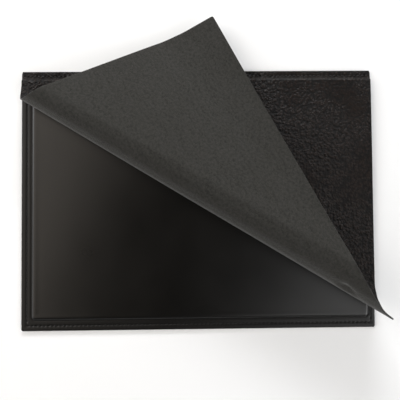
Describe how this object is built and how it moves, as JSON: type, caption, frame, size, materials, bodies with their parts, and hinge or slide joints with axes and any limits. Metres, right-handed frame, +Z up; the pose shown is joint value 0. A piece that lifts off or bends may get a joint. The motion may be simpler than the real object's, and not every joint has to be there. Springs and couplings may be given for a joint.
{
  "type": "desk mat",
  "caption": "Leather desk mat: padded base with a raised glossy writing panel and a full-size sewn-on leather cover, one corner folded back to show its suede side.",
  "frame": {"origin": "centre of the flat underside of the base", "axes": "+X along the long side, +Y to the back edge where the cover is sewn on, +Z up"},
  "size_m": [0.4487, 0.3878, 0.0664],
  "materials": {
    "smooth_leather": "smooth, glossy black",
    "backing_leather": "matt black",
    "cover_leather": "pebbled dark brown-black, satin",
    "flesh_side": "grey suede, matt",
    "thread": "waxed black thread",
    "board": "grey board",
    "foam": "thin sponge rubber"
  },
  "bodies": {
    "base": {"base_backing": "backing_leather", "bobbin_thread": "thread", "stiffener_board": "board", "foam_pad": "foam", "base_skin": "smooth_leather", "edge_thread": "thread", "cover_margin": "cover_leather", "seam_thread": "thread"},
    "cover": {"cover_panel": "cover_leather"},
    "strip_1": {"fold_strip_1": "flesh_side"},
    "strip_2": {"fold_strip_2": "flesh_side"},
    "strip_3": {"fold_strip_3": "flesh_side"},
    "strip_4": {"fold_strip_4": "flesh_side"},
    "strip_5": {"fold_strip_5": "flesh_side"},
    "strip_6": {"fold_strip_6": "flesh_side"},
    "strip_7": {"fold_strip_7": "flesh_side"},
    "corner": {"corner_flap": "flesh_side"},
    "flap_end": {"flap_end": "flesh_side"},
    "tip": {"corner_tip": "flesh_side"}
  },
  "joints": [
    {"name": "cover_hinge", "type": "hinge", "parent": "base", "child": "cover", "pos_m": [0, 0.1533, 0.0067], "axis": [-1, 0, 0], "range_deg": [0, 179]},
    {"name": "corner_fold", "type": "hinge", "parent": "cover", "child": "strip_1", "pos_m": [-0.22, 0.146, 0.0069], "axis": [0.8625, -0.5061, 0], "range_deg": [0, 24.55]},
    {"name": "corner_fold_2", "type": "hinge", "parent": "strip_1", "child": "strip_2", "pos_m": [-0.21955, 0.13527, 0.01102], "axis": [0.8592, -0.5116, 0.0029], "range_deg": [0, 24.55]},
    {"name": "corner_fold_3", "type": "hinge", "parent": "strip_2", "child": "strip_3", "pos_m": [-0.21781, 0.12671, 0.0185], "axis": [0.8568, -0.5156, 0.0082], "range_deg": [0, 24.55]},
    {"name": "corner_fold_4", "type": "hinge", "parent": "strip_3", "child": "strip_4", "pos_m": [-0.2142, 0.12131, 0.02799], "axis": [0.8557, -0.5172, 0.0149], "range_deg": [0, 24.55]},
    {"name": "corner_fold_5", "type": "hinge", "parent": "strip_4", "child": "strip_5", "pos_m": [-0.20844, 0.11946, 0.03777], "axis": [0.8561, -0.5163, 0.0217], "range_deg": [0, 24.55]},
    {"name": "corner_fold_6", "type": "hinge", "parent": "strip_5", "child": "strip_6", "pos_m": [-0.20065, 0.12092, 0.04611], "axis": [0.8579, -0.5131, 0.0275], "range_deg": [0, 24.55]},
    {"name": "corner_fold_7", "type": "hinge", "parent": "strip_6", "child": "strip_7", "pos_m": [-0.1913, 0.12485, 0.05152], "axis": [0.8607, -0.5081, 0.0311], "range_deg": [0, 24.55]},
    {"name": "corner_fold_8", "type": "hinge", "parent": "strip_7", "child": "corner", "pos_m": [-0.18111, 0.12995, 0.05308], "axis": [0.8641, -0.5023, 0.0321], "range_deg": [0, 24.55]},
    {"name": "tip_fold", "type": "hinge", "parent": "corner", "child": "flap_end", "pos_m": [-0.03851, 0.19597, 0.018], "axis": [-0.6232, 0.7705, -0.1338], "range_deg": [0, 9.3]},
    {"name": "tip_fold_2", "type": "hinge", "parent": "flap_end", "child": "tip", "pos_m": [-0.01713, 0.20674, 0.01647], "axis": [-0.677, 0.725, -0.1269], "range_deg": [0, 9.3]}
  ],
  "couplings": [
    {"joint": "corner_fold_2", "follows": "corner_fold", "ratio": 1},
    {"joint": "corner_fold_3", "follows": "corner_fold", "ratio": 1},
    {"joint": "corner_fold_4", "follows": "corner_fold", "ratio": 1},
    {"joint": "corner_fold_5", "follows": "corner_fold", "ratio": 1},
    {"joint": "corner_fold_6", "follows": "corner_fold", "ratio": 1},
    {"joint": "corner_fold_7", "follows": "corner_fold", "ratio": 1},
    {"joint": "corner_fold_8", "follows": "corner_fold", "ratio": 1},
    {"joint": "tip_fold", "follows": "corner_fold", "ratio": 0.37882},
    {"joint": "tip_fold_2", "follows": "corner_fold", "ratio": 0.37882}
  ]
}
